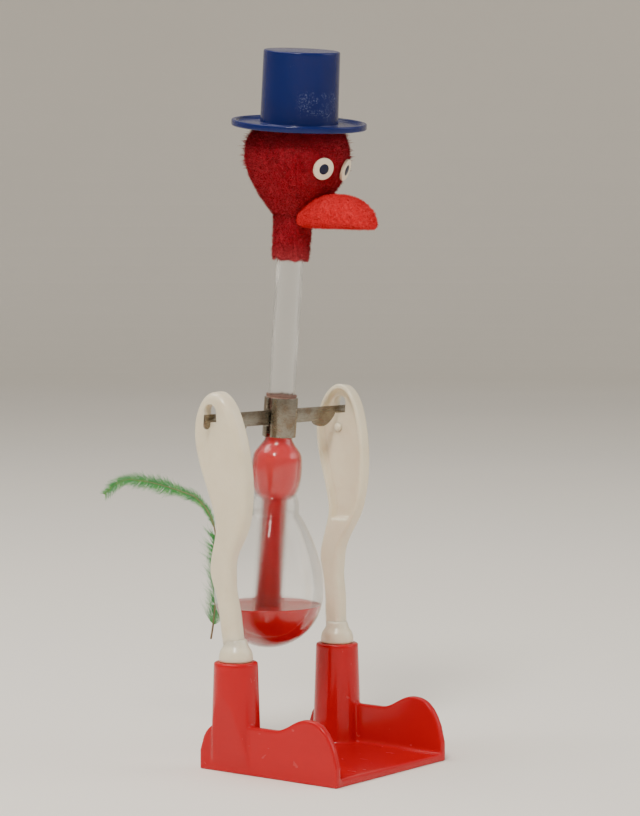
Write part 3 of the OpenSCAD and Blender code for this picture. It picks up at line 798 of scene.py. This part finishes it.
class BIRD_OT_felt(bpy.types.Operator):
    """Covers the head and neck with dark flock and sets the bright beak on it"""
    bl_idname = "bird.felt"
    bl_label = "Felt"

    def execute(self, context):
        s = sizes()
        c = colours()
        place = lean_matrix()
        dark = flock("dark_red_flock", tuple(c.head_red), (1.0, 0.30, 0.30))
        bright = flock("bright_red_flock", tuple(c.beak_red), (1.0, 0.45, 0.40))
        top = s.seat_z
        steps = 90
        line = [(felt_radius(z), z) for z in
                [s.felt_z + (top - s.felt_z) * i / steps for i in range(steps + 1)]]
        cap, cap_h = 11.2 * MM, 6.2 * MM      # the part of the head inside the hat
        dome = [(cap * math.cos(a), top + cap_h * math.sin(a)) for a in quarter(9)]
        head = turned("head", line + dome, Matrix.Identity(4), 160, False)
        slope = (seat_matrix().to_3x3().transposed() @ place.to_3x3()).row[2]
        for vertex in head.vertices:
            share = min(1.0, max(0.0, (vertex.co.z - s.head_z) / (top - s.head_z)))
            vertex.co.z -= share * (slope.x * vertex.co.x + slope.y * vertex.co.y) / slope.z
        head.transform(place)
        add_piece("head_cover", self.tufted(flocked("head_cover", head, 30000, s.fibre, 3)), dark,
                  "bird", "dark_red_flock", "head_felt")
        add_piece("neck_cover", self.sleeve(place), dark, "bird", "dark_red_flock", "neck_sleeve")
        add_piece("beak_cover", flocked("beak_cover", self.beak(place), 11000, s.fibre * 0.8, 9),
                  bright, "bird", "bright_red_flock", "beak")
        return {"FINISHED"}

    def tufted(self, mesh):
        """Longer tufts on the head's upper sides, under the brim."""
        rng = random.Random(29)
        s = sizes()
        place = lean_matrix()
        back = place.inverted()
        fur = bmesh.new()
        fur.from_mesh(mesh)
        for _ in range(1500):
            a = rng.uniform(0, FULL_TURN)
            z = s.head_z + rng.uniform(-6, 7.5) * MM
            r = felt_radius(z) - 0.4 * MM
            root = place @ Vector(polar(r, a, z))
            out = (place.to_3x3() @ Vector(polar(1, a, 0.15))).normalized()
            sway = stray(rng) * 0.35 * MM
            if (back @ root).y > -14 * MM:
                spike(fur, root, out, sway, rng.uniform(1.0, 2.3) * MM, 0.09 * MM)
        fur.to_mesh(mesh)
        fur.free()
        return mesh

    def sleeve(self, place):
        """The neck's sleeve, whose hem waves and frays."""
        s = sizes()
        rng = random.Random(17)
        bm = bmesh.new()
        sides, rows = 120, 26
        low_r, high_r = reach("neck_sleeve") - 0.5 * MM, reach("neck_sleeve")
        rings = []
        for i in range(rows + 1):
            t = i / rows
            ring = []
            for k in range(sides):
                a = FULL_TURN * k / sides
                wave = 0.5 * MM * (math.sin(a + 0.6) + 0.5 * math.sin(3 * a) + 0.6 * math.sin(7 * a + 1))
                hem = s.hem_z + 1.1 * MM + wave
                r = low_r + (high_r - low_r) * t ** 2
                ring.append(bm.verts.new(polar(r, a, hem + (s.felt_z + 1 * MM - hem) * t)))
            rings.append(ring)
        inner = [bm.verts.new((v.co.x * 0.84, v.co.y * 0.84, v.co.z + 0.1 * MM)) for v in rings[0]]
        rings.insert(0, inner)
        skinned(bm, rings)
        mesh = to_mesh("sleeve", bm, place)
        covered = flocked("neck_cover", mesh, 7000, s.fibre, 5)
        fray = bmesh.new()
        fray.from_mesh(covered)
        down = place.to_3x3() @ Vector((0, 0, -1))
        for _ in range(260):
            a = rng.uniform(0, FULL_TURN)
            root = place @ Vector(polar(low_r * 0.95, a, s.hem_z + 1.4 * MM))
            sway = stray(rng, 0.4) * 0.3 * MM
            spike(fray, root, down, sway, rng.uniform(0.7, 1.5) * MM, 0.05 * MM)
        fray.to_mesh(covered)
        fray.free()
        return covered

    def beak(self, place):
        """A tongue with a domed top and a flat underside."""
        s = sizes()
        wide = reach("beak")
        tip = 33.2 * MM
        root = 6.0 * MM
        tall = 11.3 * MM
        rows, around = 60, 56
        bm = bmesh.new()
        rings = []
        for i in range(rows):
            t = math.sin(math.pi / 2 * i / (rows - 1))
            y = -(root + (tip - root) * t)
            if t < 0.55:
                half = 0.62 * wide + 0.38 * wide * math.sin(math.pi / 2 * t / 0.55)
            else:
                half = wide * math.sqrt(max(0.0, 1 - ((t - 0.55) / 0.45) ** 2.2))
            rise = tall * (0.62 + 0.38 * math.sin(math.pi / 2 * min(1, t / 0.45)))
            if t > 0.45:
                rise *= max(0.0, 1 - ((t - 0.45) / 0.55) ** 2.4) ** 0.6
            half = max(half, 0.05 * MM)
            rise = max(rise, 0.05 * MM)
            ring = []
            for k in range(around):
                a = FULL_TURN * k / around
                x = half * math.copysign(abs(math.cos(a)) ** 0.85, math.cos(a))
                up = math.sin(a)
                base = min(3.2 * MM, rise * 0.4)
                z = base + (rise - base) * up if up > 0 else base * (1 - abs(up) ** 0.55)
                ring.append(bm.verts.new((x, y, s.beak_z + z)))
            rings.append(ring)
        skinned(bm, rings)
        bm.faces.new(rings[0])
        bm.faces.new(rings[-1])
        hinge = Matrix.Translation((0, -7 * MM, s.beak_z))
        return to_mesh("beak", bm, place @ hinge @ Matrix.Rotation(math.radians(-3), 4, "X")
                       @ hinge.inverted())


# ---------- Face and hat ----------

class BIRD_OT_eyes(bpy.types.Operator):
    """Sets the two flat eye discs and their pupils on the head"""
    bl_idname = "bird.eyes"
    bl_label = "Eyes"

    def execute(self, context):
        cream = cream_card()
        navy = navy_dot()
        for side in ("right", "left"):
            turn = middle("eye_" + side).x
            disc_r, dot_r = 3.68 * MM, 1.8 * MM
            back, front = -0.55 * MM, 0.5 * MM
            out = self.facing(turn)
            edge = rounded([(0, back), (disc_r, back), (disc_r, front), (0, front)], 0.25 * MM, 4)
            add_piece("eye_disc_" + side, turned("eye", self.open_end(edge), out, 64, False), cream,
                      "bird", "eye_cream", "eye_" + side)
            dome = [(dot_r, 0.45 * MM)] + [(dot_r * math.cos(a), front + 0.28 * MM * math.sin(a))
                                           for a in quarter(10)]
            add_piece("eye_dot_" + side, turned("dot", dome, out, 48, False), navy, "bird",
                      "pupil_navy", "pupil_" + side)
        return {"FINISHED"}

    def open_end(self, line):
        """The profile from the axis round the rim and back to the axis."""
        inner = [p for p in line if p[0] > 0.3 * MM]
        return [(0, inner[0][1])] + inner + [(0, inner[-1][1])]

    def facing(self, x):
        """A frame whose Z axis points out of the head at an eye."""
        s = sizes()
        z = s.head_z - EYE_DROP
        radius = felt_radius(z) + 0.1 * MM
        away = math.copysign(EYE_TURN, x)
        turn = Matrix.Rotation(away, 4, "Z") @ Matrix.Translation((0, -radius, z))
        slope = math.atan(felt_radius(z + 0.5 * MM) / MM - felt_radius(z - 0.5 * MM) / MM)
        return lean_matrix() @ turn @ Matrix.Rotation(math.pi / 2 + slope, 4, "X")


class BIRD_OT_hat(bpy.types.Operator):
    """Turns the top hat with its raised rim"""
    bl_idname = "bird.hat"
    bl_label = "Hat"

    def execute(self, context):
        s = sizes()
        brim = 22.65 * MM
        crown = 12.9 * MM
        wall = 1.0 * MM
        rim_h, brim_t = 2.1 * MM, 1.2 * MM
        tall = s.hat_h
        corners = [(crown - wall, 0), (brim - 0.1 * MM, 0), (brim - 0.1 * MM, rim_h),
                   (brim - 1.5 * MM, rim_h), (brim - 1.9 * MM, brim_t), (crown + 0.1 * MM, brim_t),
                   (crown - 0.2 * MM, tall - 0.3 * MM)]
        outer = rounded(corners, 0.55 * MM, 5, closed=False)
        top = rounded([(crown - 0.2 * MM, tall - 1.6 * MM), (crown - 0.2 * MM, tall), (0, tall)],
                      0.9 * MM, 6, closed=False)
        inside = [(0, tall - wall), (crown - wall - 1.2 * MM, tall - wall),
                  (crown - wall - 0.5 * MM, tall - 1.8 * wall)]
        profile = outer[:-1] + top + inside
        add_piece("top_hat_shell", turned("top_hat_shell", profile, seat_matrix(), 128), hat_plastic(),
                  "bird", "hat_blue", "top_hat")
        return {"FINISHED"}


# ---------- Clip ----------

class BIRD_OT_clip(bpy.types.Operator):
    """Bends the sheet metal clip, its arms and tabs, and frays the lining"""
    bl_idname = "bird.clip"
    bl_label = "Clip"

    def execute(self, context):
        s = sizes()
        place = lean_matrix()
        nickel = nickel_plate()
        front = bmesh.new()
        inner = s.tube_r + 0.5 * MM
        self.half_collar(front, inner, -1)
        outline = self.arm_outline(inner)
        for side in (-1, 1):
            stand = Matrix.Scale(side, 4, (1, 0, 0)) @ Matrix.Rotation(math.pi / 2, 4, "X")
            arm = plate("arm", outline, s.sheet, 0.12 * MM, stand)
            front.from_mesh(arm)
            bpy.data.meshes.remove(arm)
        mesh = to_mesh("clip_front_plate", front, place)
        add_piece("clip_front_plate", mesh, nickel, "bird", "nickel_sheet", "clip_front")
        back = bmesh.new()
        self.half_collar(back, inner, 1)
        near, far, tab_h = inner + 0.2 * MM, inner + 1.8 * MM, 3.6 * MM
        for side in (-1, 1):
            for low in (s.collar_top - s.collar_h, s.collar_top - tab_h):
                tab = [(near, low), (far, low), (far, low + tab_h), (near, low + tab_h)]
                stand = (Matrix.Translation((0, s.sheet / 2 + 0.35 * MM, 0))
                         @ Matrix.Scale(side, 4, (1, 0, 0)) @ Matrix.Rotation(math.pi / 2, 4, "X"))
                piece = plate("tab", rounded(tab, 0.5 * MM, 3), s.sheet, 0.1 * MM, stand)
                back.from_mesh(piece)
                bpy.data.meshes.remove(piece)
        add_piece("clip_back_plate", to_mesh("clip_back_plate", back, place), nickel, "bird",
                  "nickel_sheet", "clip_back")
        add_piece("clip_lining", self.lining(place, inner), frayed_lining(), "bird", "liner_brown",
                  "clip_liner")
        return {"FINISHED"}

    def half_collar(self, bm, inner, side):
        """Half a sleeve of sheet, a little dented, with softened edges."""
        s = sizes()
        low, high = s.collar_top - s.collar_h, s.collar_top
        lip = 0.12 * MM
        loop = rounded([(inner, low), (inner + s.sheet, low), (inner + s.sheet, high), (inner, high)],
                       lip, 3)
        steps = 48
        gap = math.asin(0.36 * MM / inner)
        rings = []
        for k in range(steps + 1):
            a = side * (gap + (math.pi - 2 * gap) * k / steps)
            dent = 0.06 * MM * noise.noise(Vector(polar(1, a, side)) * 3)
            rings.append([bm.verts.new(polar(r + dent, a, z)) for r, z in loop])
        skinned(bm, rings)
        bm.faces.new(rings[0])
        bm.faces.new(rings[-1])

    def arm_outline(self, inner):
        """One arm in side view: straight top edge, hanging lobe, narrow tip and end finger."""
        s = sizes()
        edge = s.sheet / 2
        tip_h, arm_h, drop = 2.6 * MM, 4.9 * MM, 2.0 * MM
        end = reach("clip_front")
        web = end - 6.2 * MM
        lobe_x, lobe_r = web - 9.4 * MM, 6.3 * MM
        finger = 3.0 * MM
        top = tip_h - edge
        low = top - arm_h
        lobe = []
        for i in range(13):
            a = math.pi * i / 12
            lift = -low * max(0.0, math.cos(a)) ** 1.5
            lobe.append((lobe_x + lobe_r * math.cos(a), low + lift - drop * math.sin(a)))
        tip = [(end - finger / 2 + finger / 2 * math.cos(a), -1.1 * MM - finger / 2 * math.sin(a))
               for a in [math.pi * i / 10 for i in range(11)]]
        return ([(inner + 0.2 * MM, top), (end, top)] + tip
                + [(end - finger, -edge + 0.02 * MM), (lobe_x + lobe_r + 0.5 * MM, -edge + 0.02 * MM)]
                + lobe + [(inner + 0.2 * MM, low)])

    def lining(self, place, inner):
        """A thin sleeve whose top edge stands out in ragged strands."""
        s = sizes()
        rng = random.Random(23)
        bm = bmesh.new()
        low, high = s.collar_top - s.collar_h + 1.2 * MM, s.collar_top + 0.4 * MM
        lathe(bm, [(inner - 0.42 * MM, low), (inner - 0.08 * MM, low), (inner - 0.08 * MM, high),
                   (inner - 0.42 * MM, high)], 96)
        for _ in range(700):
            a = rng.uniform(0, FULL_TURN)
            ragged = 0.5 + 0.5 * noise.noise(Vector(polar(1, a)) * 4)
            r = inner - 0.25 * MM
            root = Vector(polar(r, a, high - 0.3 * MM))
            away = Vector(polar(1, a)) * rng.uniform(-0.1, 0.5) * MM
            sway = away + Vector((rng.gauss(0, 1), rng.gauss(0, 1), 0)) * 0.18 * MM
            spike(bm, root, Vector((0, 0, 1)), sway, (0.5 + 1.7 * ragged * rng.random()) * MM, 0.09 * MM)
        mesh = bpy.data.meshes.new("clip_lining")
        bm.to_mesh(mesh)
        bm.free()
        mesh.transform(place)
        return mesh


# ---------- Feather ----------

def shaft_points():
    """The shaft's middle line, from the quill's cut end to the plume's tip."""
    x = middle("feather_shaft").x
    front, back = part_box("feather_shaft")
    y = front.y + 0.7 * MM
    quill_z = 38.5 * MM
    turn_z = PIVOT.z - 43.5 * MM
    arc = 16 * MM
    points = []
    for i in range(18):
        z = quill_z + (turn_z - quill_z) * i / 18
        points.append(Vector((x, y + 6.0 * (z - 58 * MM) ** 2, z)))
    for i in range(18):
        a = math.radians(70 * i / 17)
        points.append(Vector((x, y + arc * (1 - math.cos(a)), turn_z + arc * math.sin(a))))
    last = points[-1].copy()
    far = back.y - 1.0 * MM
    for i in range(1, 33):
        u = i / 32
        rise = 4 * MM * math.sin(math.pi / 2 * min(1, u / 0.7)) - 6 * MM * (max(0, u - 0.7) / 0.3) ** 2
        points.append(Vector((x, last.y + u * (far - last.y), last.z + rise)))
    return points


def barb(bm, root, along, out, droop, span, width, rng):
    """One flat barb that leaves the shaft, leans towards its tip and curls."""
    steps = 5
    rows = []
    twist = stray(rng) * 0.12
    for i in range(steps + 1):
        t = i / steps
        centre = root + out * span * t * (1 - 0.25 * t) + along * span * 0.75 * t ** 1.3
        centre += (droop + twist) * span * t ** 2
        size = width * (1 - 0.85 * t)
        rows.append((bm.verts.new(centre - along * size), bm.verts.new(centre + along * size)))
    for low, high in zip(rows, rows[1:]):
        bm.faces.new((low[0], low[1], high[1], high[0]))


class BIRD_OT_feather(bpy.types.Operator):
    """Grows the feather's shaft, its two vanes and the loose down, and glues it on"""
    bl_idname = "bird.feather"
    bl_label = "Feather"

    def execute(self, context):
        points = shaft_points()
        green = dyed_barbs()
        add_piece("feather_quill", self.shaft(points), quill_horn(), "bird", "quill_brown",
                  "feather_shaft")
        add_piece("feather_vanes", self.vanes(points), green, "bird", "feather_green",
                  "feather_plume")
        add_piece("feather_fluff", self.fluff(points), green, "bird", "feather_green",
                  "feather_down")
        glue = remeshed("glue_dab", frame["nodes"]["feather_glue"], 0.25 * MM, 12)
        add_piece("glue_dab", glue, dried_glue(), "bird", "clear_glue", "feather_glue")
        return {"FINISHED"}

    def shaft(self, points):
        bm = bmesh.new()
        sides = 10
        rings = []
        last = len(points) - 1
        for i, centre in enumerate(points):
            along = (points[min(last, i + 1)] - points[max(0, i - 1)]).normalized()
            side = Vector((1, 0, 0))
            other = along.cross(side)
            size = 0.36 * MM * (1 - 0.8 * i / last)
            rings.append([bm.verts.new(centre + (side * math.cos(a) + other * math.sin(a)) * size)
                          for a in [FULL_TURN * k / sides for k in range(sides)]])
        skinned(bm, rings)
        bm.faces.new(rings[0])
        bm.faces.new(rings[-1])
        return to_mesh("feather_quill", bm)

    def place_at(self, points, t):
        """The point and direction at a share t of the shaft."""
        last = len(points) - 1
        i = min(last - 1, int(t * last))
        return points[i].lerp(points[i + 1], t * last - i), (points[i + 1] - points[i]).normalized()

    def vanes(self, points):
        rng = random.Random(41)
        bm = bmesh.new()
        start, count = 0.27, 800
        for i in range(count):
            t = start + (1 - start) * i / count
            root, along = self.place_at(points, t)
            side = along.cross(Vector((1, 0, 0)))
            bare = 0.55 + 0.45 * math.sin(31 * t) * math.sin(11 * t + 1)
            for s in (-1, 1):
                if rng.random() > 0.95:
                    continue
                out = (side * s + Vector((rng.gauss(0, 0.25), 0, 0))).normalized()
                taper = math.sin(math.pi * min(1, 0.12 + 0.95 * (1 - t) / (1 - start))) ** 0.5
                span = 4.6 * MM * taper * (0.65 + 0.35 * bare) * rng.uniform(0.8, 1.05)
                barb(bm, root, along, out, Vector((rng.gauss(0, 0.05), 0, -0.05)), span, 0.11 * MM, rng)
        return to_mesh("feather_vanes", bm)

    def fluff(self, points):
        rng = random.Random(43)
        bm = bmesh.new()
        for _ in range(950):
            t = 0.04 + 0.25 * rng.random()
            root, along = self.place_at(points, t)
            side = along.cross(Vector((1, 0, 0)))
            turn = rng.choice((-1, 1)) * rng.uniform(0.0, 0.5)
            out = (side * rng.choice((-1, 1)) + Vector((turn, 0, 0))).normalized()
            lean_back = along * rng.uniform(-0.7, 0.6)
            span = rng.uniform(2.6, 6.4) * MM
            barb(bm, root, along, out, lean_back * 0.5, span, 0.10 * MM, rng)
        self.lay_on_glass(bm)
        return to_mesh("feather_fluff", bm)

    def lay_on_glass(self, bm):
        """Moves barbs that would run into the lower bulb out to its surface."""
        place = lean_matrix()
        back = place.inverted()
        centre = Vector((0, 0, sizes().bulb_z))
        ball = reach("lower_bulb") + DOWN_GAP
        glass = [(z, r) for r, z in bulb_line(-DOWN_GAP) if z >= centre.z]
        for v in bm.verts:
            p = back @ v.co
            if p.z <= centre.z:
                away = p - centre
                limit = ball
            else:
                away = Vector((p.x, p.y, 0))
                limit = min(glass, key=lambda pair: abs(pair[0] - p.z))[1]
            if away.length < limit:
                v.co = place @ (p + away.normalized() * (limit - away.length))


# ---------- Stand ----------

class BIRD_OT_legs(bpy.types.Operator):
    """Moulds the two ivory legs, each with a hollow inner side, a slot and a stop peg"""
    bl_idname = "bird.legs"
    bl_label = "Legs"

    shin, thigh = 3.3 * MM, 9.7 * MM
    knee, full, top = 30 * MM, 70.4 * MM, 89.2 * MM
    swell, swell_rise = 0.9 * MM, 8 * MM
    half_thick = 3.0 * MM
    hollow_z, hollow_depth, rim = 42.4 * MM, 2.4 * MM, 1.3 * MM
    slot_half, slot_arch = 2.5 * MM, 3.5 * MM
    socket = Vector((27.5 * MM, -3.2 * MM, 36.6 * MM))
    splay = math.radians(4.3)
    peg_r, peg_drop = 1.5 * MM, 5.4 * MM
    rows, columns, outline_points = 240, 44, 1200

    def execute(self, context):
        ivory = ivory_moulding()
        for side, node in ((-1, "leg_right"), (1, "leg_left")):
            mesh = self.slotted(self.thigh_and_shin(side), side)
            add_piece(node + "_moulding", kept_inside(self.finished(mesh, side), node), ivory,
                      "stand", "ivory_leg", node)
        return {"FINISHED"}

    def half_width(self, z):
        """Half of the leg's width at height z above the ankle socket."""
        if z < self.knee:
            return self.shin + self.swell * eased(max(0.0, 1 - (self.knee - z) / self.swell_rise))
        if z < self.full:
            share = eased((z - self.knee) / (self.full - self.knee)) ** 1.1
            narrow = self.shin + self.swell
            return narrow + (self.thigh - narrow) * share
        return self.thigh * math.sqrt(max(0.0, 1 - ((z - self.full) / (self.top - self.full)) ** 2))

    def mid_line(self, z):
        """Where the leg's middle line runs, behind the ankle."""
        if z < 12 * MM:
            return 0.1 * z
        if z < self.knee:
            return (1.2 + 2.2 * eased((z - 12 * MM) / (18 * MM))) * MM
        if z < 48 * MM:
            return (3.4 - 5 * eased((z - self.knee) / (18 * MM))) * MM
        return (3.9 * eased(min(1.0, (z - 48 * MM) / (34 * MM))) - 1.6) * MM

    def foot_matrix(self, side):
        """The top of an ankle socket, with the leg's outward slope."""
        return (Matrix.Translation((side * self.socket.x, self.socket.y, self.socket.z))
                @ Matrix.Scale(side, 4, (1, 0, 0)) @ Matrix.Rotation(self.splay, 4, "Y"))

    def thigh_and_shin(self, side):
        """Two faces whose thickness falls off towards the leg's outline, with a hollow inside."""
        edge = kdtree.KDTree(2 * self.outline_points)
        for i in range(self.outline_points):
            z = self.top * math.sin(math.pi / 2 * i / (self.outline_points - 1))
            for j, s in enumerate((-1, 1)):
                edge.insert((0, self.mid_line(z) + s * self.half_width(z), z), 2 * i + j)
        edge.balance()
        bm = bmesh.new()
        faces = {1: [], -1: []}
        for k in range(self.rows + 1):
            z = self.top * math.sin(math.pi / 2 * k / self.rows)
            row = {1: [], -1: []}
            for j in range(self.columns + 1):
                s = math.sin(math.pi / 2 * (2 * j / self.columns - 1))
                y = self.mid_line(z) + self.half_width(z) * s
                away = edge.find((0, y, z))[2] if 0 < j < self.columns else 0.0
                for face in (1, -1):
                    row[face].append(bm.verts.new((face * self.thickness(face, away, z), y, z)))
            for face in (1, -1):
                faces[face].append(row[face])
        for grid in faces.values():
            for low, high in zip(grid, grid[1:]):
                for j in range(self.columns):
                    bm.faces.new((low[j], low[j + 1], high[j + 1], high[j]))
        for j in (0, self.columns):
            for k in range(self.rows):
                bm.faces.new((faces[1][k][j], faces[1][k + 1][j], faces[-1][k + 1][j], faces[-1][k][j]))
        for j in range(self.columns):
            bm.faces.new((faces[1][0][j], faces[1][0][j + 1], faces[-1][0][j + 1], faces[-1][0][j]))
        return to_mesh("leg", bm, self.foot_matrix(side))

    def thickness(self, face, away, z):
        """Distance of a face from the leg's middle plane, at a distance from the outline."""
        above = eased(min(1.0, max(0.0, (z - 34 * MM) / (8 * MM))))
        fillet = 2.3 * MM if face > 0 else (1.8 - 0.9 * above) * MM
        fall = 1 - min(1.0, away / fillet)
        out = self.half_thick - fillet + fillet * math.sqrt(1 - fall * fall)
        if face > 0:
            return out
        inside = eased(min(1.0, max(0.0, (away - self.rim) / (0.9 * MM))))
        start = eased(min(1.0, max(0.0, (z - self.hollow_z) / (1.4 * MM))))
        return out - self.hollow_depth * inside * start

    def slotted(self, mesh, side):
        """Cuts the arched slot in which the clip's tip rocks."""
        half, arch, floor_z = self.slot_half, self.slot_arch, PIVOT.z - 0.35 * MM
        outline = [(-half, 0), (half, 0)] + [(half * math.cos(a), arch + half * math.sin(a)) for a in
                                             [math.pi * i / 24 for i in range(25)]]
        stand = (Matrix.Translation((side * 33.5 * MM, 0, floor_z)) @ Matrix.Rotation(math.pi / 2, 4, "Z")
                 @ Matrix.Rotation(math.pi / 2, 4, "X"))
        cutter = bpy.data.objects.new("cutter", plate("cutter", outline, 12 * MM, 0.01 * MM, stand))
        work = bpy.data.objects.new("work", mesh)
        for each in (cutter, work):
            bpy.context.scene.collection.objects.link(each)
        cut = work.modifiers.new("slot", "BOOLEAN")
        cut.object = cutter
        cut.solver = "EXACT"
        bpy.context.view_layer.update()
        done = bpy.data.meshes.new_from_object(work.evaluated_get(bpy.context.evaluated_depsgraph_get()))
        bpy.data.objects.remove(work)
        bpy.data.objects.remove(cutter)
        return done

    def finished(self, mesh, side):
        """Adds the bead on the ankle socket, the plug inside it and the domed stop peg."""
        bm = bmesh.new()
        bm.from_mesh(mesh)
        outline = ((0, -8), (3.9, -8), (3.9, 0), (5.6, 0), (5.7, 1.6), (5.2, 3.6), (4.1, 5.2),
                   (3.5, 7.4), (0, 7.6))
        bead = rounded([(x * MM, z * MM) for x, z in outline], 0.7 * MM, 4, closed=False)
        place = Matrix.Translation(self.foot_matrix(side).translation)
        peg = self.peg_r
        dome = [(0, 0), (peg, 0)] + [(peg * math.cos(a), 1.3 * MM + 0.9 * MM * math.sin(a))
                                     for a in quarter(15)]
        root = PIVOT + Vector((side * 33.4 * MM, 0, -self.peg_drop))
        aim = Matrix.Translation(root) @ Matrix.Rotation(-side * math.pi / 2, 4, "Y")
        for part in (turned("bead", bead, place, 64, False), turned("peg", dome, aim, 32, False)):
            bm.from_mesh(part)
            bpy.data.meshes.remove(part)
        out = bpy.data.meshes.new("leg")
        bm.to_mesh(out)
        bm.free()
        return out


class BIRD_OT_base(bpy.types.Operator):
    """Moulds the red foot base with its shoe-shaped walls"""
    bl_idname = "bird.base"
    bl_label = "Foot base"

    def execute(self, context):
        mesh = remeshed("foot_base_moulding", frame["nodes"]["foot_base"], 0.4 * MM, 16)
        add_piece("foot_base_moulding", kept_inside(mesh, "foot_base"), red_moulding(), "stand",
                  "red_base", "foot_base")
        return {"FINISHED"}


# ---------- Stage ----------

def area_light(name, place, target, size, power, colour=(1, 1, 1)):
    data = bpy.data.lights.new(name, "AREA")
    data.shape = "RECTANGLE"
    data.size, data.size_y = size
    data.energy = power
    data.color = colour
    lamp = bpy.data.objects.new(name, data)
    bpy.context.scene.collection.objects.link(lamp)
    lamp.location = place
    lamp.rotation_euler = (Vector(target) - Vector(place)).to_track_quat("-Z", "Y").to_euler()


class BIRD_OT_stage(bpy.types.Operator):
    """Lays a pale floor, lights it softly and sets the camera"""
    bl_idname = "bird.stage"
    bl_label = "Stage"

    def execute(self, context):
        sweep = rounded([(0, 0), (3.6, 0), (3.6, 1.7)], 1.3, 24, closed=False)
        floor = bpy.data.objects.new("floor", turned("floor", sweep, Matrix.Identity(4), 96, False))
        context.scene.collection.objects.link(floor)
        floor.data.materials.append(plain_paper())
        world = bpy.data.worlds.new("soft_room")
        context.scene.world = world
        world.use_nodes = True
        world.node_tree.nodes["Background"].inputs["Color"].default_value = (0.86, 0.83, 0.78, 1)
        world.node_tree.nodes["Background"].inputs["Strength"].default_value = 0.50
        aim = (0, 0, 0.12)
        area_light("window", (-0.72, -0.34, 1.05), aim, (0.26, 0.32), 11, (1.0, 0.95, 0.88))
        area_light("fill", (0.9, -1.3, 0.8), aim, (1.0, 1.0), 7)
        area_light("above", (-0.3, 0.6, 1.5), aim, (0.9, 0.9), 15, (1.0, 0.96, 0.90))
        self.camera(context)
        return {"FINISHED"}

    def camera(self, context):
        """A long lens from the bird's right, a little in front of it."""
        azimuth, pitch = math.radians(-52.4), math.radians(3.2)
        away, aside, up = 0.881, 0.0134, 0.168
        data = bpy.data.cameras.new("camera")
        data.sensor_width = 36
        data.lens = 115.8
        data.clip_start = 0.01
        camera = bpy.data.objects.new("camera", data)
        context.scene.collection.objects.link(camera)
        camera.location = (math.sin(azimuth) * away + math.cos(azimuth) * aside,
                           -math.cos(azimuth) * away + math.sin(azimuth) * aside, up)
        camera.rotation_euler = (math.pi / 2 - pitch, 0, azimuth)
        context.scene.camera = camera


# ---------- Panel ----------

STEPS = (BIRD_OT_glass, BIRD_OT_liquid, BIRD_OT_felt, BIRD_OT_eyes, BIRD_OT_hat, BIRD_OT_clip,
         BIRD_OT_feather, BIRD_OT_legs, BIRD_OT_base, BIRD_OT_stage)


class BIRD_PT_panel(bpy.types.Panel):
    """Lists the bird's pieces in the order they are made"""
    bl_label = "Drinking Bird"
    bl_idname = "BIRD_PT_panel"
    bl_space_type = "VIEW_3D"
    bl_region_type = "UI"
    bl_category = "Bird"

    def draw(self, context):
        for step in STEPS:
            self.layout.operator(step.bl_idname)
        for group in (context.scene.bird_sizes, context.scene.bird_colours):
            for key in group.bl_rna.properties.keys():
                if key not in ("rna_type", "name"):
                    self.layout.prop(group, key)


CLASSES = (BirdSizes, BirdColours) + STEPS + (BIRD_PT_panel,)


def register():
    for cls in CLASSES:
        bpy.utils.register_class(cls)
    bpy.types.Scene.bird_sizes = bpy.props.PointerProperty(type=BirdSizes)
    bpy.types.Scene.bird_colours = bpy.props.PointerProperty(type=BirdColours)


def unregister():
    del bpy.types.Scene.bird_sizes
    del bpy.types.Scene.bird_colours
    for cls in reversed(CLASSES):
        bpy.utils.unregister_class(cls)


def main():
    register()
    for step in STEPS:
        family, _, action = step.bl_idname.partition(".")
        getattr(getattr(bpy.ops, family), action)()


if __name__ == "__main__":
    main()
